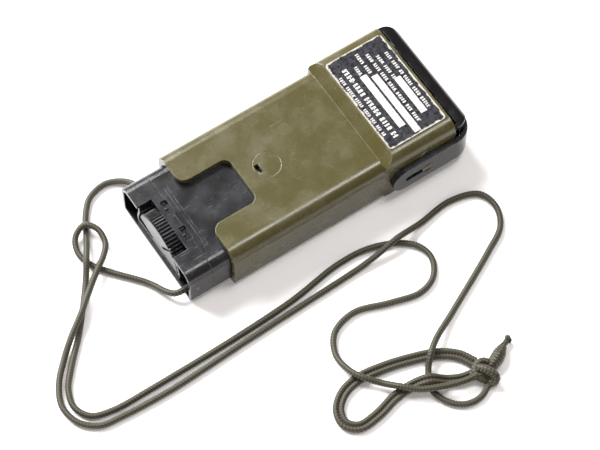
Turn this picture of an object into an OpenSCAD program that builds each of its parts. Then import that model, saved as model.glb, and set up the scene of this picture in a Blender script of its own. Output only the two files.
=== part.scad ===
// Distress marker strobe light with sliding guard, infrared filter and lanyard.
// Axes: +Y runs from the battery cap to the lamp, +Z up out of the label face, +X to the right.
// The origin is under the middle of the light, on the surface it lies on.

/* [Overall] */
// Length from the battery cap to the front of the filter
overall_l = 114.6; // [111:0.2:122]
// Width of the housing and the battery cap
body_w = 44.2; // [43.4:0.2:48]
// Thickness of the housing and the battery cap
body_h = 16.1; // [16:0.1:18]
// Length of the battery cap outside the housing
cap_l = 9.1; // [9:0.1:11]
// Radius of the long edges on the label side
edge_r = 4.4; // [3:0.2:6]
// Radius of the long edges on the back
back_edge_r = 1.8; // [1:0.2:2.4]
// Wall of the housing
wall = 1.3; // [1:0.1:1.8]

/* [Guard sleeve] */
// Clearance all round between the housing and the sleeve
slide_gap = 0.25; // [0.2:0.05:0.5]
// Sleeve wall under the housing
sleeve_floor = 1.15; // [1:0.05:1.5]
// Sleeve wall beside the housing
sleeve_side = 1.95; // [1.6:0.05:2.4]
// Sleeve wall over the housing
sleeve_roof = 2.25; // [1.8:0.05:2.8]
// Distance from the cap end to the sleeve
sleeve_y = 16.4; // [15:0.2:19]
// Height of the joint between the two sleeve shells
parting_z = 7.3; // [6:0.1:9]
// Half width of the thumb notch
notch_w = 9.9; // [8:0.1:12]
// Depth of the thumb notch
notch_l = 19; // [15:0.5:22]
// Distance that the sleeve slides
sleeve_travel = 25; // [15:1:26]
// Detent window length across the sleeve
window_w = 4; // [3:0.2:5]

/* [Head] */
// Start of the head's ramp, from the cap end
head_y = 78.3; // [77:0.2:80]
// Length of the head from the ramp to its open end
head_l = 28.7; // [27:0.1:30]
// Height of the head
head_h = 23.2; // [22.6:0.2:25]
// Width of the head
head_w = 49.8; // [49.2:0.2:52]
// Wall of the head
head_wall = 1.8; // [1.4:0.1:2.2]
// Thickness of the label plate
label_t = 0.3; // [0.2:0.1:0.5]

/* [Filter] */
// Distance of the pivot behind the head's open end
pivot_back = 12.8; // [12:0.2:14]
// Height of the pivot
pivot_z = 10; // [9.6:0.1:10.6]
// Diameter of the pivot pins
pin_d = 4.2; // [3.6:0.1:4.6]
// Thickness of a pin across its flats
pin_flat = 2.4; // [2:0.1:2.8]
// Travel of the filter along its slots
slot_travel = 6.6; // [5:0.2:7]
// Height of the frame's arms
arm_h = 11; // [9.6:0.2:12]
// Thickness of the frame's arms
arm_t = 1.95; // [1.6:0.05:2.4]
// Clearance between the sleeve and the arms
arm_gap = 0.25; // [0.2:0.05:0.5]
// Height of the top of the filter dome
dome_top = 20; // [18:0.2:21]
// Radius swept clear behind the dome's side walls
swing_r = 16.8; // [16.6:0.1:17.4]
// Radius of the hollow behind the filter
hollow_r = 17.7; // [17.6:0.1:18]
// Front radius of the clear lens about the pivot
lens_r = 17.1; // [16.6:0.1:17.1]

/* [Switch knob] */
// Radius of the knob's toothed rim
knob_r = 12.4; // [11.6:0.1:12.8]
// Height of the knob's axis
knob_z = 6.6; // [6.5:0.1:7]
// Thickness of the knob
knob_t = 4.8; // [4:0.1:5]
// Angle the knob turns through
knob_turn = 16; // [10:1:20]
// Number of teeth on the rim
tooth_count = 18; // [12:1:24]

/* [Cells] */
// Diameter of a cell
cell_d = 14.3; // [13.9:0.1:14.4]
// Length of a cell's can
cell_l = 49.2; // [45:0.2:49.4]
// Clearance round a cell
cell_gap = 0.15; // [0.1:0.05:0.2]

/* [Lanyard] */
// Diameter of the lanyard
cord_d = 2.4; // [1.8:0.1:2.4]

/* [Hidden] */
$fn = 64;

// Housing heights and the sleeve's box round it
body_z = sleeve_floor + slide_gap;
body_top = body_z + body_h;
body_mid = body_z + body_h / 2;
sleeve_in_w = body_w + 2 * slide_gap;
sleeve_w = sleeve_in_w + 2 * sleeve_side;
sleeve_in_top = body_top + slide_gap;
sleeve_top = sleeve_in_top + sleeve_roof;
small_gap = 0.15;

// Places along the light, from the cap end
seam_gap = 0.1;
housing_y = cap_l + seam_gap;
spigot_l = 3.2;
spigot_end = cap_l + spigot_l;
cell_y = spigot_end + 1.2;
cell_pitch = 7.45;
bulkhead_y = cell_y + cell_l + 1.6;
bulkhead_t = 1.2;
head_end = head_y + head_l;
housing_end = head_end - 11;
pivot_y = head_end - pivot_back;

// Circuit board and lamp
board_y = bulkhead_y + bulkhead_t + 0.4;
board_l = housing_end - 3.2 - board_y;
board_t = 1.2;
board_z = body_z + wall + 1.8;
board_w = body_w - 2 * wall - 4;
part_z = board_z + board_t;
lamp_y = housing_end - 2;
lens_back = housing_end + 1;
lens_w = body_w - 2 * wall;
lens_z0 = body_z + wall;
lens_z1 = body_top - wall;

// Battery cap
window_x = 5.9;
cap_window_w = 5.6;
cap_window_l = 2.4;
slit_y = 11;
slit_l = 27;
opening_w = 23;
knob_gap = 0.35;
knob_y = 0.8;
knob_back = knob_y + knob_t;
pocket_y = knob_back + 0.2;
pocket_r = knob_r + knob_gap;
pocket_wall = 0.9;
bump_r = 0.6;
cord_r = cord_d / 2;
channel_r = cord_r + 0.15;
channel_y = 7.8;
channel_z = 4;
channel_bend = 4.8;
exit_x = 17.8;
shaft_r = 1.1;
shaft_gap = 0.05;
hub_r = 3.6;
rest_turn = knob_turn / 2;
sector_half = 90 - rest_turn;

// Filter frame
arm_in = head_w / 2 + arm_gap;
arm_out = arm_in + arm_t;
slot_lead = 1.4;
slot_end = pivot_y - slot_travel - slot_lead;
arm_y = slot_end - 0.9 - arm_h / 2;
arm_z = pivot_z - arm_h / 2;
bar_t = 1.6;
bar_gap = 0.15;
dome_front = overall_l - bar_t - bar_gap;
dome_back = head_end + 0.25;
pin_gap = 0.08;

// Round-number points of the lanyard's two strands and its doubled loop
route_left = [
    [-22.1, -49.5, 4], [-24.5, -49.5, 4], [-30, -51.5, 2], [-33.6, -57.5, 1.2],
    [-32, -65, 1.2], [-26.5, -70.2, 1.2], [-20.5, -73.5, 1.2], [-15.5, -76.2, 2.8],
    [-10.5, -79.2, 3.9], [-4.5, -83.3, 1.6], [11, -95.3, 1.2], [21, -104.5, 1.2],
    [27, -109, 1.2], [33.5, -110.5, 1.2], [39, -107.5, 1.2], [41.2, -101, 1.2],
    [41.8, -84, 1.2], [40.6, -30, 1.2], [37.6, -8, 1.2], [38.2, 4, 1.2],
    [42, 14, 1.2], [46.8, 19.4, 1.2], [53, 20.8, 1.2], [59.5, 17, 1.2],
    [62, 10, 1.2], [59.5, -1, 1.2], [55.7, -13.5, 1.2], [58.5, -23, 1.2],
    [65.5, -27.3, 1.4], [73, -27.2, 3], [78, -25.2, 3.9], [83, -20.6, 2.6],
    [88.5, -16, 4.2], [92.4, -11.6, 3.9], [94.9, -6.6, 3.9], [96.8, -1.8, 3.8],
    [98, 2.6, 3.8], [98.7, 7, 3.8]];
route_right = [
    [17.8, -57.3, 4], [17.8, -58.7, 4], [17, -60.9, 3.6], [14.4, -62.7, 2.8],
    [8, -65.4, 1.2], [-4, -75, 1.2], [-9.5, -78.6, 1.2], [-15.5, -79.8, 1.2], [-20.8, -77.6, 2],
    [-22.4, -73, 3.8], [-18.8, -69.9, 3.6], [-13, -70.2, 3], [-8.5, -73.6, 3.8],
    [-5, -78.3, 3.6], [0.5, -85, 3.5], [6.3, -91.5, 4], [11.5, -98.5, 3],
    [17, -105, 1.2], [23.5, -110.6, 1.2], [31, -113.8, 1.2], [38.5, -112.3, 1.2],
    [43.6, -107, 1.2], [45, -98.5, 1.2], [45.8, -80, 1.2], [44.6, -50, 1.2],
    [43, -4, 1.2], [42.6, 5, 2.6], [41.6, 14, 4], [40.3, 25, 1.8],
    [38.6, 39, 1.2], [42, 49, 1.2], [49, 51, 1.2], [56.5, 47.5, 1.2],
    [62, 38.5, 1.2], [75, 13, 1.4], [79.5, 4.5, 3], [83.5, -0.8, 4],
    [88, -5, 1.3], [94, -7.6, 1.2], [100.4, -5.6, 1.2], [104.4, -1, 1.2],
    [105, 4.4, 1.2], [102.9, 9.4, 1.4]];
route_loop = [
    [93.9, 10, 1.4], [88.6, 7.2, 1.2], [84, 1.3, 1.2], [80.6, -7.5, 1.2],
    [78.2, -16.5, 1.2], [77, -26, 1.2], [78.6, -33, 1.2], [82.8, -37.8, 1.2],
    [88, -38.8, 1.2], [91.6, -35.2, 1.2], [91.3, -27.5, 1.2], [89.3, -19.5, 1.2],
    [89.1, -12.8, 1.6], [91, -7.2, 4], [93.9, -1.4, 1.3], [96, 2.8, 1.2],
    [97, 7, 1.3]];
knot_at = [98.6, 11, 0];
knot_r = 5;
knot_h = 6.4;
route_tail = [[97.6, 14.6, 2.8], [96.2, 17.6, 2.2], [94.2, 21.6, 2.2]];
route_fused = [[94.2, 21.6, 2.2], [92.8, 24.4, 2.2]];

BLACK = "#2b2b30";
OLIVE = "#7d7850";
STEEL = "#b8b8b4";
BRASS = "#b89a58";
CORD = "#4f4c30";

// Moves a piece that is measured from the cap end so that the origin is under the middle
module seat() {
    translate([0, -overall_l / 2, 0]) children();
}

// Extrudes an X-Z outline from y0 to y1
module along_y(y0, y1) {
    translate([0, y1, 0]) rotate([90, 0, 0]) linear_extrude(height = y1 - y0) children();
}

// Extrudes a Y-Z outline from x0 to x1
module along_x(x0, x1) {
    translate([x0, 0, 0]) rotate([90, 0, 90]) linear_extrude(height = x1 - x0) children();
}

// Round rod along Y from y0 to y1, at x and z
module rod_y(r, y0, y1, x, z) {
    translate([x, y1, z]) rotate([90, 0, 0]) cylinder(r = r, h = y1 - y0);
}

// Round rod along X from x0 to x1, at y and z
module rod_x(r, x0, x1, y, z) {
    translate([x0, y, z]) rotate([0, 90, 0]) cylinder(r = r, h = x1 - x0);
}

// Cross section with one radius at its top corners and another at its bottom corners
module section(w, z0, z1, r_top, r_bottom) {
    translate([-w / 2, z0 + r_bottom]) square([w, z1 - z0 - r_top - r_bottom]);
    translate([-w / 2 + r_top, z1 - 2 * r_top]) square([w - 2 * r_top, 2 * r_top]);
    translate([-w / 2 + r_bottom, z0]) square([w - 2 * r_bottom, 2 * r_bottom]);
    for (side = [-1, 1]) {
        translate([side * (w / 2 - r_top), z1 - r_top]) circle(r = r_top);
        translate([side * (w / 2 - r_bottom), z0 + r_bottom]) circle(r = r_bottom);
    }
}

// Section of the housing and cap, drawn in by an inset
module body_section(inset) {
    section(body_w - 2 * inset, body_z + inset, body_top - inset,
        edge_r - inset, max(back_edge_r - inset, 0.4));
}

// Rectangle with round corners, centred on the Y axis, from y0 to y1
module round_plate(w, y0, y1, r) {
    translate([-w / 2 + r, y0]) square([w - 2 * r, y1 - y0]);
    translate([-w / 2, y0 + r]) square([w, y1 - y0 - 2 * r]);
    for (side = [-1, 1], y = [y0 + r, y1 - r]) translate([side * (w / 2 - r), y]) circle(r = r);
}

// The two latch windows across the seam of the cap
module latch_windows() {
    for (side = [-1, 1]) translate([side * window_x - cap_window_w / 2, cap_l - 1.6, body_top - 1.5])
        cube([cap_window_w, cap_window_l, 4]);
}

module housing() {
    color(BLACK) seat() difference() {
        along_y(housing_y, housing_end) body_section(0);
        along_y(housing_y - 1, housing_end + 1) body_section(wall);
        for (side = [-1, 1])
            rod_y(cell_d / 2 + cell_gap, spigot_end + 0.3, bulkhead_y, side * cell_pitch, body_mid);
        latch_windows();
        // two long grooves with a rib left between them
        for (y = [slit_y, slit_y + 1.1]) translate([-slit_l / 2, y, body_top - 0.5])
            cube([slit_l, 0.65, 1]);
        // seat of the detent spring
        translate([-3.2, 36, body_top - 0.7]) cube([6.4, 13, 1]);
    }
}

// The bore that the lanyard runs through inside the cap
module lanyard_bore(r) {
    rod_x(r, -body_w / 2, exit_x - channel_bend, channel_y, channel_z);
    translate([exit_x - channel_bend, channel_y - channel_bend, channel_z])
        rotate_extrude(angle = 90) translate([channel_bend, 0]) circle(r = r);
    rod_y(r, 0, channel_y - channel_bend, exit_x, channel_z);
}

module end_cap() {
    color(BLACK) seat() difference() {
        union() {
            along_y(0, cap_l) body_section(0);
            along_y(cap_l, spigot_end) body_section(wall + small_gap);
        }
        // the knob's pocket, open at the end and through the label side
        along_y(-1, pocket_y) intersection() {
            translate([0, knob_z]) circle(r = pocket_r);
            union() {
                translate([-body_w / 2, knob_z - knob_gap]) square([body_w, body_h]);
                translate([0, knob_z]) circle(r = hub_r + 0.2);
            }
        }
        translate([-opening_w / 2, -1, knob_z + 6]) cube([opening_w, pocket_y + 1, body_h]);
        // the end is set back, flush with the knob's face, inside a thin rim
        along_y(-1, knob_y) body_section(wall);
        // corner openings beside the pocket
        along_y(-1, pocket_y + 0.4) difference() {
            body_section(wall);
            translate([0, knob_z]) circle(r = pocket_r + pocket_wall);
            translate([-opening_w / 2 - pocket_wall, 0]) square([opening_w + 2 * pocket_wall, body_top]);
        }
        // the lanyard's way through, with its mouths
        lanyard_bore(channel_r);
        // bearing of the knob's shaft
        rod_y(shaft_r + shaft_gap, 0, spigot_end + 1, 0, knob_z);
        rod_y(2.6, cap_l + 1.2, spigot_end + 1, 0, knob_z);
        // latch windows, each with the snap's bump in it
        difference() {
            latch_windows();
            for (side = [-1, 1]) translate([side * window_x, cap_l - 0.7, body_top - 1.5])
                sphere(r = bump_r);
        }
        // seats of the cell springs
        for (side = [-1, 1])
            rod_y(5, spigot_end - 0.8, spigot_end + 1, side * cell_pitch, body_mid);
        // gasket groove
        difference() {
            along_y(cap_l + 0.9, cap_l + 2.3) body_section(0);
            along_y(cap_l, spigot_end) body_section(wall + 1);
        }
    }
}

module cap_gasket() {
    color("#3a3a3a") seat() difference() {
        along_y(cap_l + 0.9, cap_l + 2.3) body_section(wall + 0.08);
        along_y(cap_l, spigot_end) body_section(wall + 1);
    }
}

// Outline of the knob: a wide sector on a hub
module knob_outline() {
    intersection() {
        circle(r = knob_r);
        union() {
            polygon([[0, 0], [-40 * sin(sector_half), 40 * cos(sector_half)], [0, 60],
                [40 * sin(sector_half), 40 * cos(sector_half)]]);
            circle(r = hub_r);
        }
    }
}

module switch_knob() {
    tooth_spread = 104;
    tooth_depth = 1;
    rim_chamfer = 0.6;
    tooth_step = tooth_spread / (tooth_count - 1);
    color(BLACK) seat() translate([0, 0, knob_z]) rotate([0, rest_turn, 0]) difference() {
        union() {
            intersection() {
                along_y(knob_y, knob_back) knob_outline();
                translate([0, knob_back, 0]) rotate([90, 0, 0]) union() {
                    cylinder(r = knob_r, h = knob_t - rim_chamfer);
                    translate([0, 0, knob_t - rim_chamfer])
                        cylinder(r1 = knob_r, r2 = knob_r - rim_chamfer, h = rim_chamfer);
                }
            }
            rod_y(shaft_r, knob_back - 1, spigot_end - 0.4, 0, 0);
        }
        // teeth: V grooves across the rim
        for (i = [0 : tooth_count - 1]) rotate([0, (i - (tooth_count - 1) / 2) * tooth_step, 0])
            along_y(knob_y - 1, knob_back + 1)
                polygon([[0, knob_r - tooth_depth], [-0.64, knob_r + 0.2], [0.64, knob_r + 0.2]]);
        // pointer groove on the face, from the hub to the rim
        rotate([0, 33, 0]) translate([-0.6, knob_y - 1, hub_r + 1]) cube([1.2, 1.5, knob_r]);
        // pocket of the magnet
        rod_y(2, knob_back - 2, knob_back + 1, 6.5, 4.5);
        // groove of the clip
        difference() {
            rod_y(shaft_r + 1, cap_l + 1.6, cap_l + 2.1, 0, 0);
            rod_y(shaft_r - 0.35, cap_l + 1, cap_l + 3, 0, 0);
        }
    }
}

module knob_clip() {
    color(STEEL) seat() difference() {
        rod_y(2.3, cap_l + 1.65, cap_l + 2.05, 0, knob_z);
        rod_y(shaft_r - 0.35, cap_l, spigot_end, 0, knob_z);
        translate([-0.7, cap_l, knob_z - 3]) cube([1.4, 3, 3]);
    }
}

module switch_magnet() {
    color("#8c8c90") seat() translate([0, 0, knob_z]) rotate([0, rest_turn, 0])
        rod_y(2, knob_back - 2, knob_back - 0.2, 6.5, 4.5);
}

module reed_switch() {
    x = body_w / 2 - wall - 2.6;
    color("#9fb8a8") seat() {
        rod_y(1.1, spigot_end + 2, spigot_end + 16, x, body_mid);
        rod_y(0.3, spigot_end + 16, spigot_end + 22, x, body_mid);
        rod_y(0.3, spigot_end + 0.6, spigot_end + 2, x, body_mid);
    }
}

// One cell, its can and its raised positive end; the positive end faces the sign of dir
module cell(side, dir) {
    seat() translate([side * cell_pitch, cell_y + cell_l / 2, body_mid]) scale([1, dir, 1])
        translate([0, -cell_l / 2, 0]) {
            rod_y(cell_d / 2, 0, cell_l, 0, 0);
            rod_y(2.7, cell_l, cell_l + 1, 0, 0);
        }
}

module cell_left() {
    color("#b87333") cell(-1, 1);
}

module cell_right() {
    color("#b87333") cell(1, -1);
}

// Flat turns of a contact spring between y0 and y1
module contact_spring(x, y0, y1) {
    turns = 3;
    step = (y1 - y0) / turns;
    for (i = [0 : turns - 1]) difference() {
        rod_y(4.4 - 0.6 * i, y0 + i * step, y0 + (i + 1) * step, x, body_mid);
        rod_y(3.4 - 0.6 * i, y0 - 1, y1 + 1, x, body_mid);
    }
}

module cell_springs() {
    color(STEEL) seat() {
        contact_spring(-cell_pitch, spigot_end - 0.8, cell_y);
        contact_spring(cell_pitch, spigot_end - 0.8, cell_y - 1);
    }
}

module cell_contacts() {
    color(BRASS) seat() {
        translate([-cell_pitch - 3, bulkhead_y - 0.5, body_mid - 3]) cube([6, 0.5, 6]);
        contact_spring(cell_pitch, cell_y + cell_l, bulkhead_y);
    }
}

module contact_bulkhead() {
    color("#3d3d40") seat() along_y(bulkhead_y, bulkhead_y + bulkhead_t)
        body_section(wall + small_gap / 2);
}

module circuit_board() {
    color("#2f6b3f") seat() difference() {
        translate([-board_w / 2, board_y, board_z]) cube([board_w, board_l, board_t]);
        for (side = [-1, 1]) translate([side * (board_w / 2 - 2.5), board_y + 3, board_z - 1])
            cylinder(r = 1.05, h = 4);
    }
}

module board_screws() {
    color(STEEL) seat() for (side = [-1, 1])
        translate([side * (board_w / 2 - 2.5), board_y + 3, part_z]) {
            cylinder(r = 1.9, h = 1);
            translate([0, 0, -2.8]) cylinder(r = 1, h = 2.8);
        }
}

module flash_capacitor() {
    cap_r = 4.4;
    color("#33343c") seat() {
        rod_x(cap_r, -16, 6, board_y + 10, part_z + cap_r);
        rod_x(0.4, 6, 8, board_y + 8.6, part_z + cap_r);
        rod_x(0.4, 6, 8, board_y + 11.4, part_z + cap_r);
    }
}

module inverter_transformer() {
    color("#5a4a30") seat() {
        translate([9.5, board_y + 6.5, part_z]) cube([8.4, 1.6, 8]);
        translate([9.5, board_y + 13, part_z]) cube([8.4, 1.6, 8]);
        rod_y(3.2, board_y + 8.1, board_y + 13, 13.7, part_z + 4);
    }
}

module trigger_coil() {
    color("#7a5a2a") seat() translate([-12, board_y + board_l - 6, part_z]) {
        cylinder(r = 3, h = 1);
        translate([0, 0, 1]) cylinder(r = 2.2, h = 5);
        translate([0, 0, 6]) cylinder(r = 3, h = 1);
    }
}

module timer_chip() {
    color("#1c1c1e") seat() translate([-2.5, board_y + board_l - 8.4, part_z]) cube([7, 5, 2.2]);
}

module driver_transistor() {
    color("#1c1c1e") seat() translate([-6, board_y + 1, part_z]) cube([5, 3.2, 4.4]);
}

module reflector() {
    color("#d8d8dc") seat() difference() {
        along_y(lamp_y, head_end - 2) section(lens_w - 5, lens_z0 + 1.6, lens_z1 - 1.6, 2, 2);
        // long trough behind the tube
        rod_x(5, -lens_w / 2 + 4.4, lens_w / 2 - 4.4, head_end - 2.6, body_mid);
        rod_x(2.2, -lens_w / 2, lens_w / 2, head_end - 5, body_mid);
    }
}

module flash_tube() {
    color("#e8eef4") seat() rod_x(1.7, -12, 12, head_end - 5, body_mid);
}

module tube_end_caps() {
    color(STEEL) seat() for (side = [-1, 1]) {
        translate([side * 13.5, 0, 0]) rod_x(1.9, -1.5, 1.5, head_end - 5, body_mid);
        translate([side * 16, 0, 0]) rod_x(0.5, -1, 1, head_end - 5, body_mid);
    }
}

module lens_gasket() {
    color("#3a3a3a") seat() difference() {
        along_y(housing_end, lens_back) body_section(0.2);
        along_y(housing_end - 1, lens_back + 1) body_section(wall + 0.5);
    }
}

module clear_lens() {
    color("#dfe8ec", 0.5) seat() difference() {
        union() {
            along_y(lens_back, lens_back + 1.6) body_section(0.2);
            intersection() {
                along_y(lens_back, overall_l) section(lens_w, lens_z0, lens_z1, 3, 2);
                rod_x(lens_r, -body_w, body_w, pivot_y, pivot_z);
            }
        }
        intersection() {
            along_y(lens_back - 1, overall_l) section(lens_w - 2.6, lens_z0 + 1.3, lens_z1 - 1.3, 2, 1.2);
            rod_x(lens_r - 1.4, -body_w, body_w, pivot_y, pivot_z);
        }
    }
}

module detent_spring() {
    y = sleeve_y + 25.5;
    color(STEEL) seat() difference() {
        union() {
            translate([-1.6, y - 4.8, body_top - 0.65]) cube([3.2, 11, 0.35]);
            rod_x(0.35, -1.4, 1.4, y, body_top - 0.15);
        }
        for (dy = [-4, 5.4]) translate([0, y + dy, 0]) cylinder(r = 0.5, h = 40);
    }
}

module detent_rivets() {
    y = sleeve_y + 25.5;
    color(BRASS) seat() for (dy = [-4, 5.4]) translate([0, y + dy, body_top - 0.7]) {
        cylinder(r = 0.5, h = 0.4);
        translate([0, 0, 0.4]) cylinder(r = 0.75, h = 0.25);
    }
}

// Outside of the sleeve and its head
module sleeve_outside() {
    along_y(sleeve_y, head_y + 4) section(sleeve_w, 0, sleeve_top, edge_r + 0.4, 2.4);
    difference() {
        along_y(head_y, head_end) section(head_w, 0, head_h, edge_r, 2.4);
        // ramps from the sleeve up to the head's top and out to its sides
        translate([-40, head_y, sleeve_top]) rotate([atan2(head_h - sleeve_top, 4), 0, 0])
            translate([0, -20, 0]) cube([80, 30, 20]);
        for (side = [-1, 1]) translate([side * sleeve_w / 2, head_y, -1])
            rotate([0, 0, -side * atan2(head_w / 2 - sleeve_w / 2, 3)])
            translate([side > 0 ? 0 : -20, -20, 0]) cube([20, 24, 40]);
    }
}

// Space inside the sleeve: the housing's slide and the head's chamber
module sleeve_inside() {
    along_y(sleeve_y - 1, head_end + 1)
        section(sleeve_in_w, sleeve_floor, sleeve_in_top, edge_r + slide_gap, back_edge_r);
    along_y(head_y + 4, head_end + 1)
        section(head_w - 2 * head_wall, sleeve_floor, head_h - head_wall, edge_r - 1.4, back_edge_r);
}

// Thumb notch with rounded corners, open at the cap end
module notch() {
    lip_r = 3.8;
    round_plate(2 * notch_w, sleeve_y - 10, sleeve_y + notch_l, 3);
    difference() {
        translate([-notch_w - lip_r, sleeve_y - 2]) square([2 * (notch_w + lip_r), lip_r + 2]);
        for (side = [-1, 1]) translate([side * (notch_w + lip_r), sleeve_y + lip_r]) circle(r = lip_r);
    }
}

module sleeve_upper() {
    color(OLIVE) seat() difference() {
        sleeve_outside();
        sleeve_inside();
        translate([-50, -1, -1]) cube([100, 200, parting_z + 1]);
        translate([0, 0, body_top - 2]) linear_extrude(height = 20) notch();
        // detent window
        translate([-window_w / 2, sleeve_y + 24.6, body_top]) cube([window_w, 1.8, 10]);
        // faint round mark left by the mould behind the window
        translate([0, sleeve_y + 28.8, sleeve_top - 0.08]) difference() {
            cylinder(r = 5.1, h = 1);
            translate([0, 0, -1]) cylinder(r = 4.8, h = 3);
        }
        pin_bores();
    }
}

// Half round bearings of the pins, shared by the two shells
module pin_bores() {
    for (side = [-1, 1]) translate([side * head_w / 2, 0, 0])
        rod_x(pin_d / 2 + pin_gap, -4, 4, pivot_y, pivot_z);
}

module sleeve_lower() {
    color(OLIVE) seat() difference() {
        sleeve_outside();
        sleeve_inside();
        translate([-50, -1, parting_z]) cube([100, 200, 60]);
    }
}

module blue_filter() {
    liner = 1.2;
    fit = head_wall + 0.05;
    color("#27408b", 0.7) seat() difference() {
        along_y(head_y + 5.5, head_end - 0.4) section(head_w - 2 * fit,
            sleeve_floor, head_h - fit, edge_r - 1.4, back_edge_r);
        along_y(head_y, head_end + 1) section(head_w - 2 * (fit + liner),
            0, head_h - fit - liner, edge_r - 1.4 - liner, 0.5);
        translate([-50, 0, -1]) cube([100, 200, body_top + slide_gap + 1.2]);
    }
}

module label_plate() {
    color("#3a3a40") seat() translate([0, 0, head_h]) linear_extrude(height = label_t)
        round_plate(40.6, head_y + 4.3, head_end - 0.9, 1.2);
}

// Flatted pin with a flange inside the head; dir points outward
module pivot_pin(dir) {
    inner = body_w / 2 + 0.3;
    color(OLIVE) seat() scale([dir, 1, 1]) {
        rod_x(pin_d / 2 + 0.9, inner, head_w / 2 - head_wall - 0.1, pivot_y, pivot_z);
        rod_x(pin_d / 2, inner, head_w / 2 + arm_gap * 0.6, pivot_y, pivot_z);
        intersection() {
            rod_x(pin_d / 2, inner, arm_out, pivot_y, pivot_z);
            translate([inner, pivot_y - pin_d, pivot_z - pin_flat / 2]) cube([10, 2 * pin_d, pin_flat]);
        }
    }
}

module pivot_pin_left() {
    pivot_pin(-1);
}

module pivot_pin_right() {
    pivot_pin(1);
}

// Plan outline of the frame: arms with the crossbar and its round corners
module frame_plan(out, front, r) {
    translate([-out, arm_y]) square([2 * out, front - r - arm_y]);
    translate([-out + r, arm_y]) square([2 * (out - r), front - arm_y]);
    for (side = [-1, 1]) translate([side * (out - r), front - r]) circle(r = r);
}

module filter_frame() {
    color(BLACK) seat() difference() {
        intersection() {
            translate([0, 0, arm_z]) linear_extrude(height = arm_h) difference() {
                frame_plan(arm_out, overall_l, 8);
                frame_plan(arm_in, overall_l - bar_t, 4.6);
                translate([-arm_in, arm_y - 1]) square([2 * arm_in, 10]);
            }
            along_x(-40, 40) {
                translate([arm_y + arm_h / 2, arm_z]) square([60, arm_h]);
                translate([arm_y + arm_h / 2, pivot_z]) circle(r = arm_h / 2);
            }
        }
        // keyhole slots over the pins
        rod_x(pin_d / 2 + pin_gap, -40, 40, pivot_y, pivot_z);
        along_x(-40, 40) {
            translate([slot_end, pivot_z - pin_flat / 2 - pin_gap])
                square([pivot_y - slot_end, pin_flat + 2 * pin_gap]);
            translate([slot_end, pivot_z]) circle(r = pin_flat / 2 + pin_gap);
        }
        // holes of the filter's screws
        for (side = [-1, 1]) rod_y(0.85, overall_l - 5, overall_l + 1, side * 15, pivot_z);
    }
}

module infrared_filter() {
    dome_w = head_w / 2 - 0.6;
    color("#1e1b20") seat() difference() {
        intersection() {
            union() {
                translate([0, 0, arm_z + arm_h + bar_gap])
                    linear_extrude(height = dome_top - arm_z - arm_h - bar_gap)
                    round_dome_plan(dome_w, overall_l);
                translate([0, 0, 0.9]) linear_extrude(height = dome_top - 0.9)
                    round_dome_plan(dome_w, dome_front);
            }
            along_x(-40, 40) {
                translate([dome_back, 0.9]) square([overall_l - dome_back, dome_top - 0.9 - 4]);
                translate([dome_back, 0.9]) square([overall_l - dome_back - 4, dome_top - 0.9]);
                translate([overall_l - 4, dome_top - 4]) circle(r = 4);
            }
        }
        rod_x(swing_r, -40, 40, pivot_y, pivot_z);
        rod_x(hollow_r, -dome_w + 1.6, dome_w - 1.6, pivot_y, pivot_z);
        for (side = [-1, 1]) rod_y(0.7, dome_front - 0.9, overall_l, side * 15, pivot_z);
    }
}

// Plan outline of the filter with its round front corners
module round_dome_plan(half_w, front) {
    r = 6.4;
    translate([-half_w, dome_back]) square([2 * half_w, front - r - dome_back]);
    translate([-half_w + r, dome_back]) square([2 * (half_w - r), front - dome_back]);
    for (side = [-1, 1]) translate([side * (half_w - r), front - r]) circle(r = r);
}

module filter_screws() {
    color(STEEL) seat() for (side = [-1, 1]) {
        rod_y(0.65, dome_front - 0.8, overall_l - 0.3, side * 15, pivot_z);
    }
}

module lanyard_inside() {
    color(CORD) seat() lanyard_bore(cord_r);
}

function unit(v) = v / norm(v);
function along(p, i) = unit(p[min(i + 1, len(p) - 1)] - p[max(i - 1, 0)]);

// Ring of 8 points round point i of route p, half width a and half height b
function ring(p, i, a, b) =
    let (t = along(p, i), s = unit(cross(t, [0, 0, 1])), u = cross(s, t))
    [for (k = [0 : 7]) p[i] + a * cos(45 * k + 22.5) * s + b * sin(45 * k + 22.5) * u];

// Tube swept along a route
module swept(p, a, b) {
    n = len(p);
    points = [for (i = [0 : n - 1]) each ring(p, i, a, b)];
    sides = [for (i = [0 : n - 2], k = [0 : 7])
        [8 * i + k, 8 * i + (k + 1) % 8, 8 * i + 8 + (k + 1) % 8, 8 * i + 8 + k]];
    first = [for (k = [0 : 7]) 7 - k];
    last = [for (k = [0 : 7]) 8 * (n - 1) + k];
    polyhedron(points = points, faces = concat(sides, [first, last]), convexity = 10);
}

module lanyard_left() {
    color(CORD) swept(route_left, cord_r, cord_r);
}

module lanyard_right() {
    color(CORD) swept(route_right, cord_r, cord_r);
}

module lanyard_loop() {
    color(CORD) swept(route_loop, cord_r * 1.6, cord_r);
}

module lanyard_knot() {
    color(CORD) translate(knot_at) cylinder(r = knot_r, h = knot_h);
}

module lanyard_tail() {
    color(CORD) swept(route_tail, 2.5, 2.2);
}

module lanyard_fused_end() {
    color("#1a1816") swept(route_fused, 1.3, 1.3);
}

housing();
end_cap();
cap_gasket();
switch_knob();
knob_clip();
switch_magnet();
reed_switch();
cell_left();
cell_right();
cell_springs();
cell_contacts();
contact_bulkhead();
circuit_board();
board_screws();
flash_capacitor();
inverter_transformer();
trigger_coil();
timer_chip();
driver_transistor();
flash_tube();
tube_end_caps();
reflector();
lens_gasket();
clear_lens();
detent_spring();
detent_rivets();
sleeve_upper();
sleeve_lower();
blue_filter();
label_plate();
pivot_pin_left();
pivot_pin_right();
filter_frame();
infrared_filter();
filter_screws();
lanyard_inside();
lanyard_left();
lanyard_right();
lanyard_loop();
lanyard_knot();
lanyard_tail();
lanyard_fused_end();
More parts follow.
